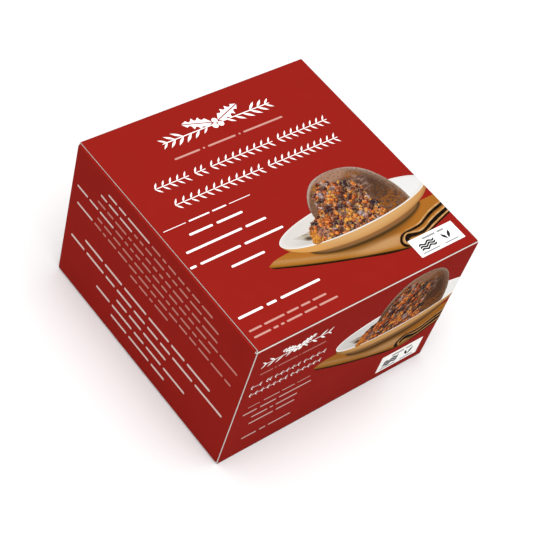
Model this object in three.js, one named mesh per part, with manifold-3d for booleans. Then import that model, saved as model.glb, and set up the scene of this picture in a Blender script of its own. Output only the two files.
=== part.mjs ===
// A shut folding carton for a small boxed pudding. One board blank is folded into a
// square tube and glued at the front left corner. Its lid and base hinge on the back
// wall and tuck in behind the front wall, over dust flaps folded in from the sides.
// Millimetres, +Z up, origin at the middle of the foot, front wall towards -Y.
import * as THREE from "three";
import { mergeVertices } from "three/addons/utils/BufferGeometryUtils.js";
import Module from "manifold-3d";

const side = 112;          // outer width and depth at the lid
const height = 74;         // from the foot to the top of the lid
const board = 0.5;         // thickness of the carton board
const fold = 0.7;          // outer radius of a creased fold
const foldSteps = 6;       // facets round a quarter turn of a fold
const lidInset = 0.8;      // cut side edges of lid and base, in from the side walls
const seamInset = 0.3;     // raw end of the front wall, in from the left wall
const footLean = 0.85;     // how far each wall leans in at the foot
const printedRed = 0xa5261f;

const half = side / 2;
const quarterTurn = Math.PI / 2;
const xAxis = new THREE.Vector3(1, 0, 0);
const yAxis = new THREE.Vector3(0, 1, 0);
const zAxis = new THREE.Vector3(0, 0, 1);

const wasm = await Module();
wasm.setup();

// The tube seen from above: three folded corners, and the glued one at the front left,
// where the left wall folds in behind the front wall's raw end.
function wallOutline() {
  const outline = new THREE.Shape();
  const seamCentre = new THREE.Vector2(-half + fold, -half + board + fold);
  const seamTurn = Math.acos((fold - seamInset) / fold);
  outline.moveTo(-half + seamInset, -half);
  outline.lineTo(half - fold, -half);
  outline.absarc(half - fold, -half + fold, fold, -quarterTurn, 0, false);
  outline.absarc(half - fold, half - fold, fold, 0, quarterTurn, false);
  outline.absarc(-half + fold, half - fold, fold, quarterTurn, Math.PI, false);
  outline.absarc(seamCentre.x, seamCentre.y, fold, Math.PI, Math.PI + seamTurn, false);
  outline.closePath();
  return outline;
}

// A rectangle with folded corners, for the profiles seen from the front and the side.
function foldedOutline(left, right, bottom, top) {
  const outline = new THREE.Shape();
  outline.moveTo(left + fold, bottom);
  outline.absarc(right - fold, bottom + fold, fold, -quarterTurn, 0, false);
  outline.absarc(right - fold, top - fold, fold, 0, quarterTurn, false);
  outline.absarc(left + fold, top - fold, fold, quarterTurn, Math.PI, false);
  outline.absarc(left + fold, bottom + fold, fold, Math.PI, Math.PI + quarterTurn, false);
  outline.closePath();
  return outline;
}

// Extrudes an outline, centres it along its depth and turns it so that the outline's
// own x, its own y and its depth run along the three given directions.
function extruded(outline, depth, across, up, along) {
  const options = { depth, bevelEnabled: false, curveSegments: foldSteps };
  const geometry = new THREE.ExtrudeGeometry(outline, options);
  geometry.translate(0, 0, -depth / 2);
  geometry.applyMatrix4(new THREE.Matrix4().makeBasis(across, up, along));
  return geometry;
}

function toSolid(geometry) {
  geometry.deleteAttribute("normal");
  geometry.deleteAttribute("uv");
  const merged = mergeVertices(geometry);
  const vertProperties = new Float32Array(merged.attributes.position.array);
  const triVerts = new Uint32Array(merged.index.array);
  return new wasm.Manifold(new wasm.Mesh({ numProp: 3, vertProperties, triVerts }));
}

function toGeometry(solid) {
  const mesh = solid.getMesh();
  const geometry = new THREE.BufferGeometry();
  geometry.setAttribute("position", new THREE.BufferAttribute(mesh.vertProperties, 3));
  geometry.setIndex(new THREE.BufferAttribute(mesh.triVerts, 1));
  return geometry;
}

// The four walls, up to where the side walls start to fold.
function tubeSolid() {
  const length = height - 2 * (board + fold);
  const tube = extruded(wallOutline(), length, xAxis, yAxis, zAxis);
  tube.translate(0, 0, height / 2);
  return toSolid(tube);
}

// The side walls folded over into dust flaps, one board thickness below the lid and
// above the base. The flaps are cut back from the corners and from the front wall.
function dustFlapsSolid() {
  const front = -half + board + fold;
  const back = half - fold;
  const profile = foldedOutline(-half, half, board, height - board);
  const flaps = extruded(profile, back - front, xAxis, zAxis, yAxis.clone().negate());
  flaps.translate(0, (front + back) / 2, 0);
  return toSolid(flaps);
}

// The front wall, whose raw edges stand a fold's height above the tube.
function frontWallSolid() {
  const left = -half + seamInset;
  const right = half - fold;
  const wall = new THREE.BoxGeometry(right - left, board, height - 2 * board);
  wall.translate((left + right) / 2, -half + board / 2, height / 2);
  return toSolid(wall);
}

// The lid, the back wall and the base as one wrap, cut narrower than the tube, with
// its front folds tucked in behind the front wall.
function wrapSolid() {
  const profile = foldedOutline(-half + board, half, 0, height);
  return toSolid(extruded(profile, side - 2 * lidInset, yAxis, zAxis, xAxis));
}

// Draws every wall in towards the foot, in proportion to its depth below the lid.
function leanIn(geometry) {
  const position = geometry.attributes.position;
  for (let i = 0; i < position.count; i += 1) {
    const drop = 1 - position.getZ(i) / height;
    const scale = 1 - (footLean / half) * drop;
    position.setX(i, position.getX(i) * scale);
    position.setY(i, position.getY(i) * scale);
  }
  return geometry;
}

const printedBoard = new THREE.MeshStandardMaterial({
  color: printedRed,
  roughness: 0.45,
  metalness: 0,
});

const folded = tubeSolid().add(dustFlapsSolid()).add(frontWallSolid()).add(wrapSolid());
const carton = new THREE.Mesh(leanIn(toGeometry(folded)), printedBoard);
carton.name = "carton";

const pack = new THREE.Group();
pack.add(carton);

export default pack;
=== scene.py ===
import math
import random

import bmesh
import bpy
from mathutils import Matrix, Quaternion, Vector


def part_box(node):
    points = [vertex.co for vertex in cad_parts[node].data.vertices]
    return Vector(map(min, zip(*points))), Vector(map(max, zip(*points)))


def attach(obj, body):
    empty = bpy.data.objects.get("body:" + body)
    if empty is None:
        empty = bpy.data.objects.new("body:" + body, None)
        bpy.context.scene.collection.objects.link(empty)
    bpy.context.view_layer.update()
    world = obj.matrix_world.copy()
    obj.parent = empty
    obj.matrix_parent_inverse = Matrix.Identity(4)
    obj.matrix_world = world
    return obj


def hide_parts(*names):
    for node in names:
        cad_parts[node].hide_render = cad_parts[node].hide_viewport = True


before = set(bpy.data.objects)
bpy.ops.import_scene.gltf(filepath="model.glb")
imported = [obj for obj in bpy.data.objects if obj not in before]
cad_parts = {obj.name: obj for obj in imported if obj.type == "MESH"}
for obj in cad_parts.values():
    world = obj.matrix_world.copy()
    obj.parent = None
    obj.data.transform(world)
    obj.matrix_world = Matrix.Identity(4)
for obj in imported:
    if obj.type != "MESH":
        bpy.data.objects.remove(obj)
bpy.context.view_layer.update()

# ---------------- floor, lamp, camera
# The carton stands on a plain pale floor in a pale room, under one broad soft lamp.
# The camera looks down on the corner where the front wall meets the left wall.
scene = bpy.context.scene
scene.view_settings.view_transform = "Standard"


def tone(red, green, blue):
    """A colour in display values from 0 to 255, as the linear colour a shader takes."""
    display = [value / 255 for value in (red, green, blue)]
    linear = [c / 12.92 if c < 0.04 else ((c + 0.055) / 1.055) ** 2.4 for c in display]
    return (*linear, 1.0)


def finish_of(name, roughness, specular, colour):
    """A new material of one even colour."""
    material = bpy.data.materials.new(name)
    material.use_nodes = True
    surface = material.node_tree.nodes["Principled BSDF"]
    surface.inputs["Base Color"].default_value = colour
    surface.inputs["Roughness"].default_value = roughness
    surface.inputs["Specular IOR Level"].default_value = specular
    return material


def object_of(name, form, *finishes):
    """Turns a finished bmesh into an object in the scene, with its materials."""
    mesh = bpy.data.meshes.new(name)
    form.to_mesh(mesh)
    form.free()
    for finish in finishes:
        mesh.materials.append(finish)
    made = bpy.data.objects.new(name, mesh)
    scene.collection.objects.link(made)
    return made


floor_form = bmesh.new()
bmesh.ops.create_grid(floor_form, x_segments=1, y_segments=1, size=4.0)
floor = object_of("floor", floor_form, finish_of("pale_floor", 0.9, 0.1, tone(240, 240, 240)))

room = bpy.data.worlds.new("pale_room")
room.use_nodes = True
room.node_tree.nodes["Background"].inputs["Color"].default_value = (1.0, 1.0, 1.0, 1.0)
room.node_tree.nodes["Background"].inputs["Strength"].default_value = 0.60
scene.world = room

lamp_data = bpy.data.lights.new("broad_lamp", "AREA")
lamp_data.size = 1.2
lamp_data.energy = 16.5
lamp = bpy.data.objects.new("broad_lamp", lamp_data)
lamp.location = (-0.12, -0.16, 1.3)
lamp.rotation_euler = (Vector((0, 0, 0)) - lamp.location).to_track_quat("-Z", "Y").to_euler()
scene.collection.objects.link(lamp)

camera_data = bpy.data.cameras.new("camera")
camera_data.lens = 98.69
camera_data.sensor_width = 36.0
camera = bpy.data.objects.new("camera", camera_data)
camera_aim = Vector((-0.0015, -0.0113, 0.037))
camera_distance = 0.5967
azimuth, elevation, roll = map(math.radians, (-53.49, 47.99, 19.74))
away = Vector((
    math.sin(azimuth) * math.cos(elevation),
    -math.cos(azimuth) * math.cos(elevation),
    math.sin(elevation),
))
camera.rotation_mode = "QUATERNION"
camera.location = camera_aim + away * camera_distance
camera.rotation_quaternion = (-away).to_track_quat("-Z", "Y") @ Quaternion((0, 0, 1), roll)
scene.collection.objects.link(camera)
scene.camera = camera

# ---------------- the folded board
# One blank of solid bleached carton board, creased and folded: a glue flap, the left,
# back, right and front walls, dust flaps off the side walls, and a lid and a base
# that hinge on the back wall and tuck in behind the front wall.
mm = 0.001
board = 0.5 * mm
fold = 0.7 * mm
fold_steps = 6
lid_inset = 0.8 * mm
seam_inset = 0.3 * mm
foot_lean = 0.85 * mm
flap_gap = 0.08 * mm
crease_margin = 0.35 * mm
grain_depth = 0.01 * mm
glue_flap = 13 * mm
dust_flap = 30 * mm
tuck_flap = 16 * mm
panel_step = 8 * mm
hair = board / 100

carton_low, carton_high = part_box("carton")
height = carton_high.z
half = (carton_high.x - carton_low.x) / 2 + foot_lean * (board + fold) / height
wall_low = board + fold + flap_gap
wall_high = height - wall_low

blank = bmesh.new()


def extend(row, move, steps=1):
    """Extrudes a row of edges, moved by a matrix at each step, and gives the last row."""
    for _ in range(steps):
        made = bmesh.ops.extrude_edge_only(blank, edges=row)["geom"]
        fresh = {part for part in made if isinstance(part, bmesh.types.BMVert)}
        edges = (part for part in made if isinstance(part, bmesh.types.BMEdge))
        row = [edge for edge in edges if fresh.issuperset(edge.verts)]
        bmesh.ops.transform(blank, matrix=move, verts=list(fresh))
    return row


def panel(row, direction, length):
    """A flat panel, with a narrow strip beside each crease to hold the fold crisp."""
    steps = math.ceil(length / panel_step)
    flat = length - 2 * crease_margin
    for stretch, count in ((crease_margin, 1), (flat, steps), (crease_margin, 1)):
        row = extend(row, Matrix.Translation(Vector(direction) * stretch / count), count)
    return row


def crease(row, centre, axis, quarter):
    """A folded corner: a quarter turn about the crease's centre line."""
    middle = Matrix.Translation(centre)
    turn = Matrix.Rotation(math.radians(90 * quarter) / fold_steps, 4, axis)
    return extend(row, middle @ turn @ middle.inverted(), fold_steps)


def edges_along(level, chosen):
    """The blank's edges that lie at one height and whose ends are both chosen."""
    return [
        edge for edge in blank.edges
        if all(abs(v.co.z - level) < hair and chosen(v.co) for v in edge.verts)
    ]


levels = math.ceil((wall_high - wall_low) / panel_step)
heights = [wall_low, wall_low + crease_margin, wall_high - crease_margin, wall_high]
heights[2:2] = [
    wall_low + (wall_high - wall_low) * step / levels for step in range(1, levels)
]
flap_end = [blank.verts.new((glue_flap - half, board - half, z)) for z in heights]
row = [blank.edges.new(pair) for pair in zip(flap_end, flap_end[1:])]
row = panel(row, (-1, 0, 0), glue_flap - fold)
row = crease(row, (fold - half, board + fold - half, 0), "Z", -1)
row = panel(row, (0, 1, 0), 2 * (half - fold) - board)
row = crease(row, (fold - half, half - fold, 0), "Z", -1)
notch = Matrix.Translation((lid_inset - fold, 0, 0))
row = extend(row, notch)
row = panel(row, (1, 0, 0), 2 * (half - lid_inset))
row = extend(row, notch)
row = crease(row, (half - fold, half - fold, 0), "Z", -1)
row = panel(row, (0, -1, 0), 2 * (half - fold))
row = crease(row, (half - fold, fold - half, 0), "Z", -1)
panel(row, (-1, 0, 0), 2 * half - fold - seam_inset)

front_crease = board + fold + flap_gap - half
lid_end = half - lid_inset + hair
for end, level, brow in ((1, wall_high, height), (-1, wall_low, 0)):
    for hand in (1, -1):
        row = edges_along(level, lambda co: abs(co.x - hand * half) < hair)
        row = crease(row, (hand * (half - fold), 0, level), "Y", -hand * end)
        panel(row, (-hand, 0, 0), dust_flap)
    row = edges_along(level, lambda co: abs(co.y + half) < hair)
    extend(row, Matrix.Translation((0, 0, brow - end * board - level)))
    crease_level = brow - end * fold
    row = edges_along(level, lambda co: abs(co.y - half) < hair and abs(co.x) < lid_end)
    row = extend(row, Matrix.Translation((0, 0, crease_level - level)))
    row = crease(row, (0, half - fold, crease_level), "X", end)
    row = panel(row, (0, -1, 0), half - fold - front_crease)
    row = crease(row, (0, front_crease, crease_level), "X", end)
    panel(row, (0, 0, -end), tuck_flap)

# The basin inside presses the walls out at the lid and lets them lean in at the foot,
# and the full carton bows each wall and the lid out a little between their creases.
wall_crown = 0.25 * mm
lid_crown = 0.3 * mm


def settled(place):
    """Where a point of the freshly folded carton lies once the carton is full."""
    across, along = place.x / half, place.y / half
    rise = 2 * place.z / height - 1
    lean = 1 - foot_lean / half * (1 - place.z / height)
    bow = wall_crown * (1 - rise ** 2)
    swell = lid_crown * max(rise, 0) * (1 - across ** 2) * (1 - along ** 2)
    return Vector((
        place.x * lean + bow * across * (1 - along ** 2),
        place.y * lean + bow * along * (1 - across ** 2),
        place.z + swell,
    ))


bmesh.ops.reverse_faces(blank, faces=blank.faces)
for vert in blank.verts:
    vert.co = settled(vert.co)
for face in blank.faces:
    face.smooth = True


def plug(socket, value):
    """Gives a socket a plain value, or the output of another node."""
    if isinstance(value, bpy.types.NodeSocket):
        socket.id_data.links.new(value, socket)
    else:
        socket.default_value = value


def tree_of(*values):
    """The node tree of whichever value is a node's socket."""
    return next(value.id_data for value in values if isinstance(value, bpy.types.NodeSocket))


def place_node(kind, settings=None, tree=None, **sockets):
    """Adds a shader node, beside the nodes that feed it where no tree is named."""
    node = (tree or tree_of(*sockets.values())).nodes.new(f"ShaderNode{kind}")
    for key, value in (settings or {}).items():
        setattr(node, key, value)
    for key, value in sockets.items():
        plug(node.inputs[key.replace("_", " ")], value)
    return node


def mixed(share, first, second, blend="MIX"):
    """Mixes two colours by a share, and gives the mixed colour's socket."""
    settings = {"data_type": "RGBA", "blend_type": blend}
    node = place_node("Mix", settings, tree_of(share, first, second))
    for index, value in ((0, share), (6, first), (7, second)):
        plug(node.inputs[index], value)
    return node.outputs[2]


def number(operation, *values, kind="Math", output="Value"):
    """One step of arithmetic. Each value is plain or the output of another node."""
    node = place_node(kind, {"operation": operation}, tree_of(*values))
    for socket, value in zip(node.inputs, values):
        plug(socket, value)
    return node.outputs[output]


def board_grain_group():
    """Ink and varnish on carton board: faint mottle, fine tooth and slow waves."""
    group = bpy.data.node_groups.new("board_grain", "ShaderNodeTree")
    for name, kind, way in (
        ("Colour", "Color", "INPUT"), ("Mottle", "Float", "INPUT"), ("Tooth", "Float", "INPUT"),
        ("Waves", "Float", "INPUT"), ("Colour", "Color", "OUTPUT"), ("Height", "Float", "OUTPUT"),
    ):
        group.interface.new_socket(name=name, in_out=way, socket_type=f"NodeSocket{kind}")
    ways_in = group.nodes.new("NodeGroupInput").outputs
    ways_out = group.nodes.new("NodeGroupOutput").inputs
    spot = place_node("TexCoord", tree=group).outputs["Object"]
    fibre, cloud, wave = [
        place_node("TexNoise", Vector=spot, Scale=scale, Detail=detail).outputs["Fac"]
        for scale, detail in ((2600.0, 3.0), (95.0, 4.0), (38.0, 1.0))
    ]
    light = place_node("MapRange", Value=cloud, From_Min=0.3, From_Max=0.7)
    amount = number("MULTIPLY", light.outputs["Result"], ways_in["Mottle"])
    plug(ways_out["Colour"], mixed(amount, ways_in["Colour"], (0.0, 0.0, 0.0, 1.0)))
    tooth = number("MULTIPLY", fibre, ways_in["Tooth"])
    plug(ways_out["Height"], number("MULTIPLY_ADD", wave, ways_in["Waves"], tooth))
    return group


board_grain = board_grain_group()


def on_board(finish, colour, mottle=0.03, tooth=0.5, waves=3.0):
    """Lays the board's grain under a finish's colour. The colour may be a socket."""
    grain = place_node(
        "Group", {"node_tree": board_grain}, finish.node_tree,
        Colour=colour, Mottle=mottle, Tooth=tooth, Waves=waves,
    ).outputs
    bump = place_node(
        "Bump", Height=grain["Height"], Strength=1.0, Distance=grain_depth
    )
    surface = finish.node_tree.nodes["Principled BSDF"].inputs
    plug(surface["Base Color"], grain["Colour"])
    plug(surface["Normal"], bump.outputs["Normal"])
    return finish


varnish_roughness = 0.42
varnish_specular = 0.002
lamp_gain = 1.39


def ink(red, green, blue):
    """A printed colour as it should look on the lid, which the lamp lights past white."""
    return (*[value / lamp_gain for value in tone(red, green, blue)[:3]], 1.0)


def varnished(name, colour, mottle=0.05):
    """A finish of one ink under the pack's varnish."""
    finish = finish_of(name, varnish_roughness, varnish_specular, colour)
    return on_board(finish, colour, mottle)


printed_red = varnished("printed_red", ink(165, 37, 30))

cut_white = tone(212, 207, 200)
cut_edge = finish_of("cut_board_edge", 0.9, 0.1, cut_white)
on_board(cut_edge, cut_white, mottle=0.12, tooth=3.0, waves=0.0)

inner_white = tone(226, 220, 210)
board_inside = finish_of("board_inside", 0.85, 0.1, inner_white)
on_board(board_inside, inner_white, mottle=0.08, tooth=2.0, waves=0.0)

carton_board = object_of("carton_board", blank, printed_red, cut_edge, board_inside)
thickness = carton_board.modifiers.new("board_thickness", "SOLIDIFY")
thickness.thickness = board
thickness.offset = -1.0
thickness.use_even_offset = True
thickness.material_offset = 2
thickness.material_offset_rim = 1
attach(carton_board, "root")
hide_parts("carton")

# ---------------- laying print on board
# The artwork is laid out flat in millimetres, as on the printer's sheet, and then bent
# with the board on to its panel. Each ink film is a thin closed skin over the last one.
film = 0.03
sink = 0.02
sheet_step = 7.0
curve_steps = 6
side = 2 * half / mm
fold_start = side - fold / mm
fold_length = math.pi / 2 * fold / mm


def on_lid(u, v, lift):
    """A place on the lid: u from its left edge, v from its front edge."""
    return Vector((u * mm - half, v * mm - half, height + lift * mm))


def on_wall(quarter):
    """A wall's own places: u from its left end as seen from outside, v from the foot.
    Past the wall's right-hand crease the print follows the board round the fold."""
    turn_of_wall = Matrix.Rotation(math.radians(90 * quarter), 3, "Z")

    def place(u, v, lift):
        over = max(u * mm - (2 * half - fold), 0)
        turn = min(over / fold, math.pi / 2)
        reach = fold + lift * mm
        along = u * mm - over - half + reach * math.sin(turn)
        out = -half + fold - reach * math.cos(turn) + over - fold * turn
        return turn_of_wall @ Vector((along, out, v * mm))

    return place


front_wall, right_wall, back_wall, left_wall = map(on_wall, range(4))


def stretched(stretch, shift):
    """A flat shift after a stretch, for artwork that is reused at another size."""
    return Matrix.Translation((*shift, 0)) @ Matrix.Diagonal((*stretch, 1, 1))


as_drawn = stretched((1, 1), (0, 0))
lid_fit = stretched((0.995, 1.002), (-0.7, -0.6))


def cut(form, spot, direction, **options):
    """Cuts a form along a plane."""
    everything = form.verts[:] + form.edges[:] + form.faces[:]
    bmesh.ops.bisect_plane(form, geom=everything, plane_co=spot, plane_no=direction, **options)


def pour(form, into):
    """Adds one form to another, and frees it."""
    mesh = bpy.data.meshes.new("poured")
    form.to_mesh(mesh)
    form.free()
    into.from_mesh(mesh)
    bpy.data.meshes.remove(mesh)


def lay(films, layer, artwork, panel_place, fit=as_drawn, end=side):
    """Bends a copy of flat artwork on to a panel and adds it to a piece's ink films.
    The layer counts the films below it, and end is where the panel cuts it off."""
    skin = artwork.copy()
    bmesh.ops.transform(skin, matrix=fit, verts=skin.verts)
    bmesh.ops.triangulate(skin, faces=skin.faces)
    for across, up in ((1, 0), (0, 1)):
        for step in range(1, int(side / sheet_step)):
            reach = step * sheet_step
            cut(skin, (across * reach, up * reach, 0), (across, up, 0))
    for step in range(5):
        cut(skin, (fold_start + step * fold_length / 4, 0, 0), (1, 0, 0))
    cut(skin, (end, 0, 0), (1, 0, 0), clear_outer=True)
    drawn = skin.verts.layers.float_vector.new("artwork")
    # The third number lets the picture's inks lay painted light and shade on the walls' copies.
    upright = 0.0 if panel_place is on_lid else 1.0
    for vert in skin.verts:
        vert[drawn] = (*(fit.inverted() @ vert.co).xy, upright)
    raised = bmesh.ops.extrude_face_region(skin, geom=skin.faces[:], use_keep_orig=True)
    tops = {part for part in raised["geom"] if isinstance(part, bmesh.types.BMVert)}
    for vert in skin.verts:
        lift = layer * film if vert in tops else -sink
        vert.co = settled(panel_place(vert.co.x, vert.co.y, lift))
    bmesh.ops.recalc_face_normals(skin, faces=skin.faces)
    pour(skin, films)


def print_piece(name, finish, layer, sheets):
    """Prints one piece of ink films, which rides with the carton. Each sheet has its
    artwork and its panel, and may have its fit and its end. The films keep their place
    on the artwork, with a third number that is 0 on the lid and 1 elsewhere."""
    films = bmesh.new()
    films.verts.layers.float_vector.new("artwork")
    for sheet in sheets:
        lay(films, layer, *sheet)
    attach(object_of(name, films, finish), "root")


def add_disc(artwork, centre, radii, turn=0.0, segments=24):
    """A filled ellipse."""
    shape = Matrix.Translation((*centre, 0)) @ Matrix.Rotation(turn, 4, "Z")
    shape = shape @ Matrix.Diagonal((*radii, 1, 1))
    bmesh.ops.create_circle(artwork, cap_ends=True, segments=segments, radius=1.0, matrix=shape)


def add_rectangle(artwork, left, right, low, high):
    """A filled rectangle, and gives its corners."""
    shape = Matrix.Translation(((left + right) / 2, (low + high) / 2, 0))
    shape = shape @ Matrix.Diagonal(((right - left) / 2, (high - low) / 2, 1, 1))
    made = bmesh.ops.create_grid(artwork, x_segments=1, y_segments=1, size=1.0, matrix=shape)
    return made["verts"]


def add_bar(artwork, start, stop, level, thickness):
    """A flat bar with rounded ends, from start to stop along one level line."""
    corners = add_rectangle(artwork, start, stop, level - thickness / 2, level + thickness / 2)
    bmesh.ops.bevel(
        artwork, geom=corners, offset=thickness * 0.49, segments=4,
        affect="VERTICES", profile=0.5, material=-1,
    )


def add_outline(artwork, points):
    """A filled shape through a few points. A point that ends in "sharp" is a corner."""
    curve = bpy.data.curves.new("outline", "CURVE")
    curve.dimensions = "2D"
    curve.fill_mode = "BOTH"
    curve.resolution_u = curve_steps
    spline = curve.splines.new("BEZIER")
    spline.bezier_points.add(len(points) - 1)
    for knot, (u, v, *kind) in zip(spline.bezier_points, points):
        knot.co = (u, v, 0)
        knot.handle_left_type = knot.handle_right_type = "VECTOR" if kind else "AUTO"
    spline.use_cyclic_u = True
    drawing = bpy.data.objects.new("outline", curve)
    scene.collection.objects.link(drawing)
    shape = bpy.data.meshes.new_from_object(
        drawing.evaluated_get(bpy.context.evaluated_depsgraph_get())
    )
    artwork.from_mesh(shape)
    bpy.data.objects.remove(drawing)
    bpy.data.curves.remove(curve)
    bpy.data.meshes.remove(shape)
    return artwork


def add_copies(artwork, motif, placings):
    """Copies of one small drawn shape, each moved by its own matrix."""
    for placing in placings:
        copy = motif.copy()
        bmesh.ops.transform(copy, matrix=placing, verts=copy.verts)
        pour(copy, artwork)


# ---------------- headline ornaments
# Where such a carton carries its headlines, a sprig of holly with berries and bands of
# leafy garland are left unprinted, so that the white board shows through the red ink.
bare_white = tone(254, 253, 250)
white_print = varnished("bare_board_white", bare_white, mottle=0.015)


def holly_half(mirror):
    """One side of a holly leaf of unit length: hollows between sharp spines."""
    vein, reach, spines = 0.02, 0.25, 4
    points = [(0.0, vein, "sharp")]
    for spine in range(spines):
        tip = 0.2 + 0.215 * spine
        width = reach * math.sin(math.pi * tip ** 0.9) ** 0.7
        points.append((tip - 0.1, width * 0.55))
        points.append((tip, width, "sharp"))
    points += [(0.92, 0.075), (1.0, vein, "sharp")]
    return [(u, v * mirror, *kind) for u, v, *kind in points]


holly_leaf = bmesh.new()
for mirror in (1, -1):
    add_outline(holly_leaf, holly_half(mirror))
small_leaf = add_outline(bmesh.new(), [
    (0.0, 0.0, "sharp"), (0.5, 0.1), (1.0, 0.0, "sharp"), (0.5, -0.1),
])


def leaf_at(u, v, length, degrees):
    """Where a leaf of unit length goes: its stalk end, its length and its angle."""
    place = Matrix.Translation((u, v, 0)) @ Matrix.Rotation(math.radians(degrees), 4, "Z")
    return place @ Matrix.Scale(length, 4)


def add_garland(artwork, start, stop, level, tall, pitch):
    """A leafy band: a stem with pairs of leaves slanting the same way along it."""
    add_bar(artwork, start, stop, level, tall * 0.06)
    run = stop - start - tall * 0.42
    pairs = max(round(run / pitch), 1)
    gap = run / pairs
    placings = [
        leaf_at(start + pair * gap, level, tall * 0.625, hand * 49)
        for pair in range(pairs + 1) for hand in (1, -1)
    ]
    add_copies(artwork, small_leaf, placings)


def add_sprig(artwork, centre, wide, tall, pairs):
    """The large ornament: two holly leaves and three berries between two slim twigs."""
    u, v = centre
    stem = v - 0.12 * tall
    for hand, flat in ((1, 0), (-1, 180)):
        root = u + hand * 0.03 * wide
        add_copies(artwork, holly_leaf, [
            leaf_at(root, v - 0.02 * tall, 0.235 * wide, flat + hand * 19)
        ])
        add_bar(artwork, *sorted((root, u + hand * 0.47 * wide)), stem, 0.035 * tall)
        for pair in range(pairs):
            share = pair / (pairs - 1)
            reach = 0.09 + 0.36 * share
            size = (0.456 - 0.4902 * (share - 0.5) ** 2) * tall
            tilts = (38, -38) if reach > 0.26 else (-38,)
            add_copies(artwork, small_leaf, [
                leaf_at(u + hand * reach * wide, stem, size, flat + hand * tilt)
                for tilt in tilts
            ])
        add_copies(artwork, small_leaf, [
            leaf_at(u + hand * 0.455 * wide, stem, 0.045 * wide, flat)
        ])
    berry = 0.105 * tall
    for turn in (90, 210, 330):
        lean_u = math.cos(math.radians(turn)) * berry * 1.25
        lean_v = math.sin(math.radians(turn)) * berry * 1.25
        add_disc(artwork, (u + lean_u, stem + lean_v), (berry, berry))


lid_headline, wall_headline = bmesh.new(), bmesh.new()
add_sprig(lid_headline, centre=(56.2, 98.7), wide=54.0, tall=12.4, pairs=6)
add_sprig(wall_headline, centre=(22.1, 63.9), wide=32.4, tall=9.4, pairs=4)
for artwork, level, tall, pitch, words in (
    (lid_headline, 79.4, 5.6, 3.5, ((13.0, 29.0), (31.8, 37.0), (39.6, 70.5), (73.2, 99.2))),
    (lid_headline, 69.6, 5.6, 3.5, ((15.3, 57.9), (60.7, 96.8))),
    (wall_headline, 49.5, 2.85, 3.0, ((3.7, 8.9), (10.9, 13.6), (15.0, 27.3), (29.0, 40.0))),
    (wall_headline, 44.2, 2.85, 3.0, ((4.2, 22.6), (24.2, 39.3))),
):
    for start, stop in words:
        add_garland(artwork, start, stop, level, tall, pitch)

print_piece("headline_ornaments", white_print, 1, (
    (lid_headline, on_lid, lid_fit), (wall_headline, front_wall), (wall_headline, back_wall),
))

# ---------------- lines of small print
# Each line of small print is a row of plain bars, one for each word. The lid's bold
# lines are left white. The rest is printed in tints of the red, from nearly white to pink.
soft_print = varnished("soft_white_tint", ink(246, 218, 210))
pink_print = varnished("pale_pink_tint", ink(228, 168, 156))
faint_print = varnished("faint_pink_tint", ink(216, 144, 132))


def add_line(artwork, thickness, level, words):
    """A line of word bars: each word has its start and its end."""
    for start, stop in words:
        add_bar(artwork, start, stop, level, thickness)


lid_bold, lid_light, wall_bold, wall_light = (bmesh.new() for _ in range(4))
for line in (
    (lid_bold, 0.28, 60.9, ((3.5, 13.8), (34.2, 44.4))),
    (lid_bold, 0.62, 60.9, ((15.2, 24.9), (26.2, 32.9))),
    (lid_bold, 0.97, 55.4, ((11.4, 22.3), (24.2, 36.5))),
    (lid_bold, 0.97, 48.9, ((5.2, 31.2), (33.0, 42.8))),
    (lid_bold, 0.97, 42.4, ((2.2, 5.0), (6.9, 25.6), (27.5, 46.0))),
    (lid_bold, 0.97, 35.9, ((16.3, 31.9),)),
    (lid_bold, 1.0, 15.9, ((3.9, 15.2), (17.1, 21.6), (23.6, 42.4))),
    (lid_light, 0.86, 88.6, ((29.0, 41.2), (45.2, 58.9), (62.9, 83.0))),
    (lid_light, 0.8, 9.5, ((3.8, 9.6), (10.8, 20.2), (21.4, 26.9), (28.1, 32.5), (33.7, 40.2))),
    (lid_light, 0.8, 6.5, ((3.8, 11.5), (12.7, 15.0), (16.2, 17.8), (19.0, 26.2), (27.4, 33.3),
                           (34.5, 43.4))),
    (wall_bold, 0.24, 34.9, ((6.3, 12.0), (30.5, 37.0))),
    (wall_bold, 0.42, 34.9, ((14.0, 21.8), (23.0, 29.2))),
    (wall_bold, 0.69, 30.7, ((5.0, 11.8), (13.4, 21.2), (22.6, 38.8))),
    (wall_bold, 0.69, 26.0, ((10.4, 18.2), (19.5, 21.1), (22.5, 33.2))),
    (wall_bold, 0.69, 21.4, ((10.3, 22.4), (23.9, 33.3))),
    (wall_bold, 0.68, 11.5, ((9.4, 16.8), (18.4, 21.5), (22.9, 34.3))),
    (wall_light, 0.66, 56.6, ((6.0, 12.2), (14.5, 24.0), (26.0, 37.8))),
):
    add_line(*line)
for artwork, start, level, size in (
    (lid_light, 43.2, 88.6, 0.45), (lid_light, 60.9, 88.6, 0.45),
    (wall_light, 13.4, 56.6, 0.4), (wall_light, 25.0, 56.6, 0.4),
):
    add_disc(artwork, (start, level), (size, size))

chance = random.Random(7)


def words_between(start, stop, shortest, longest, space):
    """Splits a line of print into words of uneven length."""
    words = []
    while stop - start > longest + space + shortest:
        width = chance.uniform(shortest, longest)
        words.append((start, start + width))
        start += width + space
    return [*words, (start, stop)]


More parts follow.
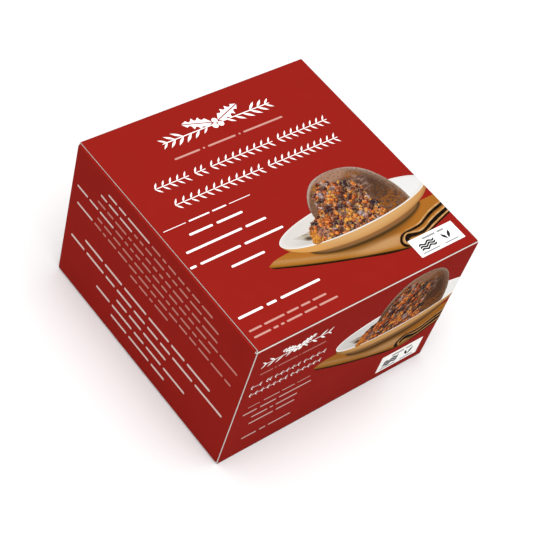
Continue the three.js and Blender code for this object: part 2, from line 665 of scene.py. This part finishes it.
# The left wall's upper lines: each has its level, its start, where its bold words end
# and its end. The lines below them are bold throughout.
left_bold, left_light = bmesh.new(), bmesh.new()
for level, start, bold_end, stop in (
    (66.5, 22.2, 49.0, 88.2), (62.4, 18.0, 38.7, 93.1), (58.1, 17.0, 17.0, 93.8),
    (54.1, 3.8, 28.5, 107.0), (49.9, 18.6, 18.6, 92.2), (45.8, 5.3, 16.0, 105.8),
    (41.6, 43.0, 43.0, 67.9),
):
    if bold_end > start:
        add_line(left_bold, 0.95, level, words_between(start, bold_end, 4.0, 9.0, 1.2))
        start = bold_end + 1.4
    add_line(left_light, 0.98, level, words_between(start, stop, 2.0, 7.5, 1.2))
for level, start, stop in (
    (32.0, 14.0, 97.5), (26.6, 5.0, 106.7), (21.3, 38.5, 72.1), (15.9, 25.4, 86.0),
    (10.3, 37.0, 74.0),
):
    add_line(left_bold, 1.2, level, words_between(start, stop, 6.0, 15.0, 1.6))

# The right wall, which never faces a customer, carries a plain ruled table of bars
# beside a column of small print.
right_bold, right_light = bmesh.new(), bmesh.new()
table_left, table_right, table_foot, row_pitch, rows = 9.0, 55.0, 14.0, 5.2, 9
for row_index in range(rows + 1):
    level = table_foot + row_index * row_pitch
    add_line(right_light, 0.3, level, ((table_left, table_right),))
for row_index in range(rows):
    level = table_foot + (row_index + 0.5) * row_pitch
    weight = right_bold if row_index == rows - 1 else right_light
    words = words_between(table_left + 2, chance.uniform(20.0, 29.0), 3.0, 9.0, 1.2)
    add_line(weight, 0.95, level, words)
    for column in (36.0, 47.0):
        add_line(weight, 0.95, level, ((column, column + chance.uniform(3.0, 5.5)),))
for row_index in range(11):
    stop = chance.uniform(94.0, 103.0) if row_index % 4 < 3 else chance.uniform(70.0, 86.0)
    words = words_between(63.0, stop, 3.0, 9.0, 1.2)
    weight = right_light if row_index % 4 else right_bold
    add_line(weight, 0.8, 60.0 - row_index * 4.2, words)

wall_lines = (
    (wall_bold, wall_light, front_wall), (wall_bold, wall_light, back_wall),
    (left_bold, left_light, left_wall), (right_bold, right_light, right_wall),
)
print_piece("lid_bold_print", white_print, 1, ((lid_bold, on_lid, lid_fit),))
print_piece("lid_light_print", pink_print, 1, ((lid_light, on_lid, lid_fit),))
print_piece("wall_bold_print", soft_print, 1, [(bold, wall) for bold, _, wall in wall_lines])
print_piece("wall_light_print", faint_print, 1, [(light, wall) for _, light, wall in wall_lines])

# ---------------- picture: folded napkin
# The front of the pack is printed with a picture of what is inside: a spooned-into
# pudding on a plate, on a folded napkin. It is rebuilt as flat shaded fields of ink,
# drawn once for the lid and stretched to suit the front and the back wall.
lid_cut = side - lid_inset / mm - 0.1
round_corner = fold_start + fold_length + 0.3
wall_fit = stretched((0.926, 1.119), (10.6, 6.7))
picture_edge = side + 6.0


def print_picture(name, finish, layer, artwork, wall_artwork=None):
    """Prints one field of the picture on the lid and on the front and the back wall.
    The walls may have a drawing of their own."""
    print_piece(name, finish, layer, (
        (artwork, on_lid, lid_fit, lid_cut),
        (wall_artwork or artwork, front_wall, wall_fit, round_corner),
        (wall_artwork or artwork, back_wall, wall_fit, fold_start),
    ))


def vector(operation, *values, output="Vector"):
    """One step of arithmetic on places and directions."""
    return number(operation, *values, kind="VectorMath", output=output)


def axes_of(place):
    """How far a place lies to the right, up and out."""
    return place_node("SeparateXYZ", Vector=place).outputs


def stored_place(tree):
    """What the films keep: the place on the artwork, and 1 off the lid."""
    settings = {"attribute_name": "artwork"}
    return place_node("Attribute", settings, tree).outputs["Vector"]


def ink_of(name):
    """A new ink finish, and the place on the flat artwork, in millimetres."""
    finish = finish_of(name, varnish_roughness, varnish_specular, ink(128, 128, 128))
    return finish, vector("MULTIPLY", stored_place(finish.node_tree), (1.0, 1.0, 0.0))


def with_painted_wall_light(place, lid_colour, wall_colour):
    """One colour for the lid and another for the upright walls: the walls' colour is the same ink
    with painted light and shade.
    """
    return mixed(axes_of(stored_place(place.id_data))["Z"], lid_colour, wall_colour)


def spread_of(place, centre, radii, degrees=0.0):
    """How far a place lies from the middle of an ellipse: 1 on the ellipse itself."""
    turned = place_node(
        "Mapping", {"vector_type": "TEXTURE"}, Vector=place,
        Location=(*centre, 0.0), Rotation=(0.0, 0.0, math.radians(degrees)),
        Scale=(*radii, 1.0),
    )
    return vector("LENGTH", turned.outputs["Vector"], output="Value")


def eased(value, low, high, start=0.0, stop=1.0):
    """Eases from start to stop as a value goes from low to high."""
    return place_node(
        "MapRange", {"interpolation_type": "SMOOTHSTEP"}, Value=value,
        From_Min=low, From_Max=high, To_Min=start, To_Max=stop,
    ).outputs["Result"]


def spot_mask(place, centre, radii, degrees, core, strength):
    """A soft round spot: full inside its core, and gone at its ellipse."""
    return eased(spread_of(place, centre, radii, degrees), core, 1.0, strength, 0.0)


def glazed(colour, *glazes):
    """Lays glazes of ink over a colour: each has its share and its red, green and blue."""
    for share, glaze in glazes:
        colour = mixed(share, colour, ink(*glaze))
    return colour


def dabbed(colour, place, *dabs, patches=None):
    """Lays soft dabs of ink over a colour, which patches may break up: each has its
    middle, radii, turn, core, strength, and its red, green and blue."""
    for *shape, dab in dabs:
        mask = spot_mask(place, *shape)
        share = number("MULTIPLY", mask, patches) if patches else mask
        colour = mixed(share, colour, ink(*dab))
    return colour


def colour_steps(value, steps, kind="EASE"):
    """Colours along a scale from 0 to 1: each step has its place and its colour."""
    node = place_node("ValToRGB", Fac=value)
    scale = node.color_ramp
    scale.interpolation = kind
    while len(scale.elements) < len(steps):
        scale.elements.new(1.0)
    for element, (spot, *_) in zip(scale.elements, steps):
        element.position = spot
    for element, (_, *colour) in zip(scale.elements, steps):
        element.color = ink(*colour)
    return node.outputs["Color"]


def blotches(place, scale, low, high, detail=2.0, warp=0.0, strength=1.0):
    """Uneven patches of up to full strength, about one to each 1/scale millimetres."""
    patch = place_node(
        "TexNoise", Vector=place, Scale=scale, Detail=detail, Distortion=warp
    )
    return eased(patch.outputs["Fac"], low, high, 0.0, strength)


napkin_ink, place = ink_of("napkin_ink")
axes = axes_of(place)
reach = number("SUBTRACT", axes["X"], 29.6)
hem = number("MULTIPLY_ADD", reach, -0.388, 27.7)
hem = number("MULTIPLY_ADD", number("MULTIPLY", reach, reach), 0.00145, hem)
above_hem = number("SUBTRACT", axes["Y"], hem)
cloth = colour_steps(number("DIVIDE", above_hem, 10.0), (
    (0.0, 24, 16, 8), (0.045, 40, 26, 12), (0.10, 160, 106, 42), (0.17, 184, 120, 44),
    (0.25, 190, 134, 72), (0.34, 194, 141, 84), (0.46, 186, 121, 50), (0.7, 182, 114, 42),
))
cloth = dabbed(
    cloth, place,
    ((78.5, 17.1), (21.0, 3.4), -6.0, 0.2, 1.0, (206, 156, 103)),
    ((76.0, 30.1), (31.0, 12.6), 0.0, 0.78, 0.5, (72, 53, 28)),
    ((76.0, 27.9), (29.8, 7.7), 0.0, 0.87, 0.92, (72, 53, 28)),
    ((95.0, 12.4), (13.0, 2.4), 12.0, 0.5, 0.8, (128, 88, 42)),
)
weave = blotches(place, 1.6, 0.35, 0.7, detail=3.0, strength=0.10)
on_board(napkin_ink, mixed(weave, cloth, ink(150, 92, 30)))


def lowered(points, drop):
    """The same points, drawn lower to the right of where the napkin's folds begin."""
    return [(u, v - drop * min(max((u - 85) / 8, 0), 1), *rest) for u, v, *rest in points]


napkin_outline = (
    (28.8, 29.3, "sharp"), (29.6, 28.0), (34, 26.0), (40, 23.6), (52, 19.5), (64, 15.9),
    (76, 12.4), (84.5, 10.9, "sharp"), (89, 11.4), (96, 13.4), (104, 15.6),
    (picture_edge, 20.9, "sharp"), (picture_edge, 27.9, "sharp"), (100, 27.8), (60, 31),
    (38, 31.2), (32, 30.5),
)
print_picture("picture_napkin", napkin_ink, 1, *[
    add_outline(bmesh.new(), lowered(napkin_outline, drop)) for drop in (0.0, 1.2)
])

# The napkin's layered folds at the right: each layer's edge catches the light, over a
# dark gap in a softer brown shade, and the front of the roll curls round a black hollow.


def patchy_ink(name, scale, low, high, first, second):
    """An ink that wanders between two colours in slow patches."""
    finish, place = ink_of(name)
    return on_board(
        finish, mixed(blotches(place, scale, low, high), first, second), mottle=0.02
    )


fold_shade = patchy_ink("napkin_shade_ink", 0.5, 0.3, 0.7, ink(92, 60, 30), ink(118, 76, 34))
fold_dark = patchy_ink("napkin_gap_ink", 0.5, 0.3, 0.7, ink(10, 9, 10), ink(38, 27, 18))
fold_light = patchy_ink(
    "napkin_edge_ink", 0.35, 0.35, 0.65, ink(200, 146, 84), ink(224, 174, 118)
)


def add_band(artwork, upper, lower):
    """A band of ink between an upper and a lower edge, with square ends."""
    ends = [(*upper[0], "sharp"), *upper[1:-1], (*upper[-1], "sharp")]
    ends += [(*lower[-1], "sharp"), *lower[-2:0:-1], (*lower[0], "sharp")]
    add_outline(artwork, ends)


def add_ribbon(artwork, points):
    """A band of ink whose width changes: each point has its place and its width. It
    runs on past the picture's edge."""
    (back_u, back_v, _), (last_u, last_v, width) = points[-2:]
    slope = (last_v - back_v) / (last_u - back_u)
    points = (*points, (picture_edge, last_v + slope * (picture_edge - last_u), width))
    upper, lower = [], []
    for index, (u, v, width) in enumerate(points):
        before, after = points[max(index - 1, 0)], points[min(index + 1, len(points) - 1)]
        run = Vector((after[0] - before[0], after[1] - before[1])).normalized()
        upper.append((u - run.y * width / 2, v + run.x * width / 2))
        lower.append((u + run.y * width / 2, v - run.x * width / 2))
    add_band(artwork, upper, lower)


# Each fold has how much lower it runs on the walls than on the lid, and its points.
gap_folds = (
    (0.9, ((85.2, 11.6, 0.5), (83.8, 12.7, 1.3), (83.3, 14.2, 1.0), (84.3, 16.0, 0.7),
           (86.3, 17.3, 0.7), (89, 17.7, 0.7), (93, 17.8, 0.8), (96.5, 18.2, 0.9),
           (100, 19.3, 1.0), (105, 21.0, 1.1), (112, 22.5, 1.2))),
    (0.4, ((85.6, 13.5, 1.2), (86.6, 15.2, 2.0), (88.6, 15.8, 1.9), (91, 15.3, 1.4),
           (94, 15.0, 1.2), (97.5, 15.5, 1.3), (101, 16.7, 1.5), (105, 17.8, 1.7),
           (112, 19.5, 1.5))),
)
hem_fold = (1.4, ((93, 12.9, 0.4), (98, 14.0, 0.6), (105, 15.9, 0.7), (112, 17.7, 0.8)))
edge_folds = (
    (0.9, ((88.5, 18.5, 0.3), (93, 18.6, 0.6), (97, 19.1, 0.7), (100, 20.3, 0.8),
           (105, 22.0, 0.8), (112, 23.5, 0.8))),
    (0.4, ((85.2, 12.6, 0.6), (84.8, 13.9, 0.7), (85.6, 15.7, 0.7), (87.8, 17.1, 0.6),
           (90.5, 16.7, 0.6), (94, 15.9, 0.7), (97.5, 16.5, 0.7), (101, 17.8, 0.7),
           (105, 19.0, 0.7), (112, 20.6, 0.8))),
    (1.0, ((95, 13.8, 0.3), (98, 14.7, 0.6), (105, 16.7, 0.7), (112, 18.4, 0.7))),
)


def folds(drawn, drop_share, share, extra=0.0):
    """A drawing of some folds, each as broad as a share of its width and the extra."""
    artwork = bmesh.new()
    for drop, ribbon in drawn:
        add_ribbon(artwork, [
            (u, v, width * share + extra) for u, v, width in lowered(ribbon, drop * drop_share)
        ])
    return artwork


for name, finish, layer, drawn, on_top, on_walls in (
    ("picture_napkin_shades", fold_shade, 2, gap_folds, (1.0, 0.45), (1.0, 0.9)),
    ("picture_napkin_gaps", fold_dark, 3, (*gap_folds, hem_fold), (0.85,), (1.05,)),
    ("picture_napkin_edges", fold_light, 4, edge_folds, (0.9,), (0.5,)),
):
    print_picture(name, finish, layer, folds(drawn, 0, *on_top), folds(drawn, 1, *on_walls))

# ---------------- picture: plate, spoon
# A shallow white plate, seen from just above its rim. Its underside and its foot take
# the warm colour of the napkin, and the tip of a spoon shows behind the pudding.
plate_centre = (76.8, 35.67)
plate_reach = 38.0
rim_depth = 7.96
bowl_depth = 12.17
plate_tilt = 0.94


def plate_disc(radii, centre=plate_centre):
    """A round of the plate, as it looks from just above the rim."""
    disc = bmesh.new()
    add_disc(disc, centre, radii, math.radians(plate_tilt), 96)
    return disc


foot_centre = (76.0, 27.9)
foot_radii = (28.5, 6.2)
foot_ink, place = ink_of("plate_foot_ink")
foot_colour = colour_steps(spread_of(place, foot_centre, foot_radii), (
    (0.0, 152, 106, 66), (0.8, 148, 102, 62), (0.91, 140, 97, 58), (0.97, 98, 72, 44),
    (1.0, 74, 56, 36),
))
on_board(foot_ink, foot_colour)
foot = bmesh.new()
add_disc(foot, foot_centre, foot_radii, segments=64)
print_picture("picture_plate_foot", foot_ink, 2, foot)

underside_ink, place = ink_of("plate_underside_ink")
bowl = spread_of(place, plate_centre, (plate_reach, bowl_depth), plate_tilt)
underside = colour_steps(bowl, (
    (0.6, 224, 178, 124), (0.78, 221, 172, 112), (0.93, 212, 158, 98),
    (0.985, 190, 134, 78), (1.0, 156, 108, 64),
))
underside = dabbed(
    underside, place, ((45.0, 29.0), (16.0, 9.0), -20.0, 0.2, 0.75, (229, 168, 92))
)
# Painted light and shade: the walls' copy of the underside is glazed brighter, with painted shade
# towards the bowl's lower edge.
painted_wall_light = glazed(
    underside, (0.35, (250, 186, 112)), (eased(bowl, 0.87, 1.0, 0.0, 0.6), (112, 78, 46))
)
on_board(underside_ink, with_painted_wall_light(place, underside, painted_wall_light))
underside_field = plate_disc((plate_reach - 0.1, bowl_depth))
tilt = math.radians(plate_tilt)
cut(underside_field, (*plate_centre, 0), (-math.sin(tilt), math.cos(tilt), 0), clear_outer=True)
print_picture("picture_plate_underside", underside_ink, 3, underside_field)

rim_ink, place = ink_of("plate_rim_ink")
# Painted light: on the walls the rim is painted full white, brighter than on the lid.
on_board(rim_ink, with_painted_wall_light(place, ink(250, 246, 240), bare_white), mottle=0.02)
print_picture("picture_plate_rim", rim_ink, 4, plate_disc((plate_reach, rim_depth)))

well_centre, well_radii = (76.8, 35.77), (37.5, 7.46)
well_ink, place = ink_of("plate_well_ink")
across = eased(axes_of(place)["X"], 45.0, 104.0)
well_colour = mixed(across, ink(230, 224, 218), ink(244, 243, 241))
well_colour = dabbed(
    well_colour, place, ((53.0, 31.0), (13.0, 4.6), -8.0, 0.1, 0.7, (204, 198, 192))
)
lip = eased(spread_of(place, well_centre, well_radii, plate_tilt), 0.93, 1.0)
well_colour = mixed(lip, well_colour, ink(236, 232, 228))
# Painted light: on the walls the well is painted paler, more so towards the right.
painted_wall_brightening = number("MULTIPLY_ADD", across, 0.5, 0.2)
well_colour = with_painted_wall_light(place, well_colour, mixed(painted_wall_brightening, well_colour, bare_white))
on_board(well_ink, well_colour, mottle=0.02)
print_picture("picture_plate_well", well_ink, 5, plate_disc(well_radii, well_centre))

spoon_ink, place = ink_of("spoon_ink")
along = eased(axes_of(place)["X"], 45.5, 51.0)
spoon_colour = mixed(along, ink(214, 208, 202), ink(196, 182, 164))
spoon_colour = dabbed(
    spoon_colour, place,
    ((51.4, 32.9), (3.1, 1.5), -16.0, 0.2, 1.0, (92, 72, 54)),
    ((50.8, 35.1), (2.6, 0.5), -16.0, 0.2, 0.7, (132, 114, 96)),
)
on_board(spoon_ink, spoon_colour, mottle=0.02)
spoon = add_outline(bmesh.new(), [
    (45.2, 35.6, "sharp"), (48, 35.5), (51, 35.4), (54.2, 35.2), (54.0, 31.9),
    (51.6, 31.7), (49.6, 32.5), (47.6, 34.1),
])
print_picture("picture_spoon_tip", spoon_ink, 6, spoon)

# ---------------- picture: the pudding
# A steamed pudding turned out of its basin: a smooth dark dome, bloomed grey at its
# edges, with the front spooned away to show crumb full of dried fruit and peel.
dome_ink, place = ink_of("pudding_dome_ink")
patches = blotches(place, 0.4, 0.38, 0.62, detail=6.0, warp=0.6)
dome_colour = mixed(patches, ink(90, 62, 48), ink(124, 90, 70))
dome_colour = dabbed(
    dome_colour, place, ((92.6, 41.5), (6.6, 11.0), 8.0, 0.3, 0.85, (82, 57, 44))
)
edge_spread = spread_of(place, (80.25, 32.0), (22.7, 25.15))
side_glow = eased(edge_spread, 0.80, 0.96, 0.0, 0.7)
dome_colour = mixed(side_glow, dome_colour, ink(142, 108, 88))
dome_colour = dabbed(
    dome_colour, place,
    ((94.0, 31.6), (10.5, 8.0), 24.0, 0.35, 1.0, (152, 90, 36)),
    ((91.5, 39.0), (7.0, 10.0), 24.0, 0.35, 0.22, (152, 90, 36)),
    patches=blotches(place, 0.5, 0.42, 0.58, detail=6.0),
)
dome_colour = dabbed(
    dome_colour, place, ((87.5, 51.3), (7.0, 2.4), -14.0, 0.2, 1.0, (152, 96, 48))
)
streaks = place_node(
    "Mapping", Vector=place, Rotation=(0.0, 0.0, math.radians(-55)),
    Scale=(0.4, 1.0, 1.0),
).outputs["Vector"]
dome_colour = dabbed(
    dome_colour, place, ((89.0, 46.5), (5.5, 7.5), 10.0, 0.2, 1.0, (156, 124, 112)),
    patches=blotches(streaks, 0.9, 0.44, 0.60, detail=4.0),
)
dome_colour = dabbed(
    dome_colour, place,
    ((77.5, 56.2), (13.5, 6.4), -5.0, 0.6, 1.0, (174, 132, 108)),
    ((62.0, 45.0), (8.0, 15.0), -20.0, 0.5, 1.0, (130, 94, 72)),
    ((67.0, 52.0), (7.5, 3.0), 42.0, 0.4, 0.9, (156, 106, 66)),
)
haze_start = eased(axes_of(place)["X"], 64.0, 88.0, 0.955, 0.885)
haze = eased(edge_spread, haze_start, 0.99, 0.0, 0.95)
speckle = blotches(place, 1.2, 0.38, 0.58, detail=4.0)
haze = number("MULTIPLY", haze, number("MULTIPLY_ADD", speckle, 0.5, 0.5))
dome_colour = glazed(
    dome_colour, (haze, (168, 142, 126)),
    (eased(edge_spread, 0.955, 0.995, 0.0, 0.6), (196, 178, 168)),
    (blotches(place, 1.4, 0.52, 0.66, detail=4.0, strength=0.55), (66, 44, 34)),
    (blotches(place, 1.1, 0.58, 0.72, detail=4.0, strength=0.35), (188, 152, 132)),
)
# Painted shade: on the walls the dome is painted darker and warmer.
painted_wall_light = mixed(1.0, dome_colour, (0.88, 0.79, 0.7, 1.0), "MULTIPLY")
on_board(dome_ink, with_painted_wall_light(place, dome_colour, painted_wall_light))

dome = add_outline(bmesh.new(), [
    (102.4, 30.75, "sharp"), (102.1, 36.0), (100.5, 42.0), (98.3, 46.6), (95.4, 50.7),
    (91.5, 53.8), (86.4, 55.8), (80.5, 56.6), (75.0, 56.3), (69.8, 54.7), (65.8, 51.7),
    (62.6, 47.7), (60.6, 43.5), (59.9, 39.6), (60.0, 31.0, "sharp"), (66.0, 28.9),
    (76.0, 28.4), (88.0, 28.85), (96.0, 29.6),
])
print_picture("picture_pudding_dome", dome_ink, 6, dome)

# The crumb's shapes are shaken out of true, which also moves them by half the shake.
crumb_ink, place = ink_of("pudding_crumb_ink")
shake = 2.8
noise = place_node("TexNoise", Vector=place, Scale=0.9, Detail=3.0)
loose = vector("MULTIPLY_ADD", noise.outputs["Color"], (shake, shake, 0.0), place)

# Lumps of crumb, fruit and peel, each of one colour, which gather in drifts.
lump = place_node("TexVoronoi", Vector=loose, Scale=0.66, Randomness=1.0).outputs
draw = place_node("SeparateColor", Color=lump["Color"]).outputs["Red"]
draw = number("MULTIPLY_ADD", draw, 0.76, blotches(place, 0.24, 0.3, 0.7, strength=0.24))
for centre, radii, strength in (
    ((53.4, 32.4), (4.6, 6.4), 0.66), ((64.0, 37.0), (4.4, 1.9), 0.55),
):
    golden = spot_mask(place, centre, radii, 0.0, 0.45, strength)
    draw = number("MULTIPLY_ADD", golden, number("SUBTRACT", 0.76, draw), draw)
crumb_colour = colour_steps(draw, (
    (0.0, 40, 34, 44), (0.22, 80, 42, 38), (0.35, 136, 70, 48), (0.44, 178, 114, 98),
    (0.50, 226, 104, 34), (0.60, 250, 138, 40), (0.72, 255, 178, 72), (0.86, 210, 184, 182),
), "CONSTANT")
mash = place_node("TexNoise", Vector=place, Scale=1.5, Detail=4.0)
mash_colour = colour_steps(mash.outputs["Fac"], (
    (0.34, 60, 36, 34), (0.46, 134, 66, 46), (0.56, 208, 106, 58), (0.68, 246, 180, 124),
), "LINEAR")
crumb_colour = mixed(0.16, crumb_colour, mash_colour)

# The larger raisins, pale pieces of fruit and one smooth slice that show on top.
raisin, pale, slice_tint = (54, 50, 60), (206, 184, 184), (186, 126, 104)
for (u, v), radii, strength, colour in (
    ((82.4, 48.0), (3.4, 3.2), 0.95, raisin), ((72.3, 39.6), (3.2, 2.3), 0.9, raisin),
    ((86.6, 35.6), (3.0, 2.2), 0.95, raisin), ((57.8, 37.8), (2.5, 1.7), 0.95, raisin),
    ((67.2, 45.4), (2.1, 1.6), 0.9, raisin), ((78.0, 37.2), (2.3, 1.5), 0.85, raisin),
    ((66.0, 34.4), (2.4, 1.3), 0.8, raisin), ((75.4, 42.2), (1.8, 1.5), 0.85, raisin),
    ((70.8, 31.6), (2.6, 1.4), 0.8, raisin), ((67.2, 40.6), (2.8, 1.3), 0.9, raisin),
    ((83.4, 43.2), (2.2, 1.3), 0.8, raisin), ((69.2, 48.2), (1.5, 2.0), 0.9, pale),
    ((74.6, 51.3), (1.6, 1.6), 0.85, pale), ((78.8, 33.2), (2.0, 2.3), 0.9, pale),
    ((58.6, 32.8), (3.6, 3.0), 0.85, slice_tint),
):
    dab = ((u + shake / 2, v + shake / 2), radii, 0.0, 0.45, strength, colour)
    crumb_colour = dabbed(crumb_colour, loose, dab)

# Each lump is lit from the upper left, with a dark crevice round it and fine pits.
offset = vector("SUBTRACT", loose, lump["Position"])
facing = vector("DOT_PRODUCT", offset, (-0.55, 0.83, 0.0), output="Value")
crevice = place_node(
    "TexVoronoi", {"feature": "DISTANCE_TO_EDGE"}, Vector=loose, Scale=0.66,
).outputs["Distance"]
crumb_colour = glazed(
    crumb_colour,
    (eased(facing, -0.7, 0.05, 0.7, 0.0), (66, 30, 26)),
    (eased(facing, 0.1, 0.7, 0.0, 0.3), (255, 214, 160)),
    (eased(crevice, 0.02, 0.12, 0.65, 0.0), (56, 27, 26)),
    (blotches(place, 1.9, 0.57, 0.66, strength=0.45), (52, 34, 36)),
    (blotches(loose, 1.7, 0.62, 0.72, detail=1.0, strength=0.45), (240, 214, 190)),
)
crumb_colour = dabbed(
    crumb_colour, place,
    ((62.0, 44.0), (3.4, 7.5), -14.0, 0.3, 0.6, (92, 56, 42)),
    ((70.5, 54.8), (7.5, 2.2), 8.0, 0.3, 0.5, (92, 56, 42)),
    ((53.0, 32.4), (3.6, 5.6), -20.0, 0.3, 0.3, (255, 176, 64)),
)
# Painted light and shade: on the walls the crumb's darks are painted darker and its lights
# brighter.
painted_wall_light = mixed(0.5, crumb_colour, crumb_colour, "MULTIPLY")
painted_wall_light = mixed(1.0, painted_wall_light, (1.48, 1.48, 1.48, 1.0), "MULTIPLY")
on_board(crumb_ink, with_painted_wall_light(place, crumb_colour, painted_wall_light))

crumb_outline = (
    (51.4, 30.0), (56.0, 29.15), (62.0, 28.6), (70.0, 28.3), (78.0, 28.3), (84.0, 28.5),
    (89.2, 28.85, "sharp"), (88.4, 32.2), (88.6, 35.4), (87.2, 38.4), (86.8, 41.6), (87.2, 44.2),
    (85.8, 47.8), (83.2, 50.4), (79.5, 50.2), (77.2, 50.9), (76.0, 52.7), (73.0, 53.2),
    (70.4, 52.7), (68.0, 51.2), (66.0, 49.6), (65.2, 47.2), (64.4, 44.4), (63.4, 42.0),
    (61.6, 40.1), (59.6, 39.1), (57.0, 38.1), (54.8, 36.6), (53.4, 34.6), (52.4, 32.4),
)
crumb = add_outline(bmesh.new(), crumb_outline)
for (u, v), (next_u, next_v) in zip(crumb_outline[7:], crumb_outline[8:]):
    for share in (0.0, 0.33, 0.66):
        spot = (
            u + (next_u - u) * share + chance.uniform(-0.25, 0.25),
            v + (next_v - v) * share + chance.uniform(-0.25, 0.25),
        )
        size = (chance.uniform(0.35, 0.85), chance.uniform(0.3, 0.6))
        add_disc(crumb, spot, size, chance.uniform(0, math.pi), segments=7)
print_picture("picture_pudding_crumb", crumb_ink, 7, crumb)

# ---------------- printed label panel
# A plain white panel printed over the napkin's corner, with short grey bars, three wavy
# lines and a pair of small leaves in dark grey.
label_fit = stretched((0.996, 1.195), (-1.95, -1.3))
label_form = bmesh.new()
add_rectangle(label_form, 85.6, 109.0, 4.95, 13.9)

label_marks = bmesh.new()
waves_left, waves_right, crest, half_line, wave_steps = 88.1, 96.3, 0.42, 0.4, 16


def wave_edge(level):
    """One edge of a wavy line, which climbs a little as it goes."""
    edge = []
    for step in range(wave_steps + 1):
        share = step / wave_steps
        rise = crest * math.sin(share * 4 * math.pi) + 0.9 * (share - 0.5)
        edge.append((waves_left + (waves_right - waves_left) * share, level + rise))
    return edge


for level in (7.9, 9.0, 10.1):
    add_band(label_marks, wave_edge(level + half_line), wave_edge(level - half_line))
add_copies(label_marks, small_leaf, [
    leaf_at(u, 7.5, length, degrees) @ Matrix.Diagonal((1, 1.6, 1, 1))
    for u, length, degrees in ((102.5, 4.3, 58), (102.2, 3.9, 124))
])
label_bars = bmesh.new()
add_line(label_bars, 0.9, 12.2, ((91.7, 98.8), (99.8, 103.4)))
add_line(label_bars, 0.6, 6.2, ((87.4, 96.2), (99.0, 106.4)))

grey_print = varnished("grey_label_ink", ink(52, 52, 54))
pale_grey_print = varnished("pale_grey_label_ink", ink(178, 178, 178))
for name, finish, layer, drawing in (
    ("label_panel", white_print, 5, label_form),
    ("label_marks", grey_print, 6, label_marks),
    ("label_bars", pale_grey_print, 6, label_bars),
):
    print_piece(name, finish, layer, (
        (drawing, on_lid, lid_fit), (drawing, front_wall, label_fit),
        (drawing, back_wall, label_fit),
    ))

# ---------------- date patch on the base
# The base is plain red but for a bare white patch, left for the date to be stamped on,
# with two short grey bars beside where it goes.


def on_base(u, v, lift):
    """A place on the base, as seen from below with the front wall at the bottom."""
    return Vector((half - u * mm, v * mm - half, -lift * mm))


date_patch, date_bars = bmesh.new(), bmesh.new()
add_rectangle(date_patch, 34.0, 78.0, 48.0, 64.0)
add_line(date_bars, 0.9, 60.4, ((37.0, 49.0), (50.4, 56.0)))
add_line(date_bars, 0.9, 51.6, ((37.0, 45.0),))
print_piece("date_patch", white_print, 1, ((date_patch, on_base),))
print_piece("date_bars", pale_grey_print, 2, ((date_bars, on_base),))
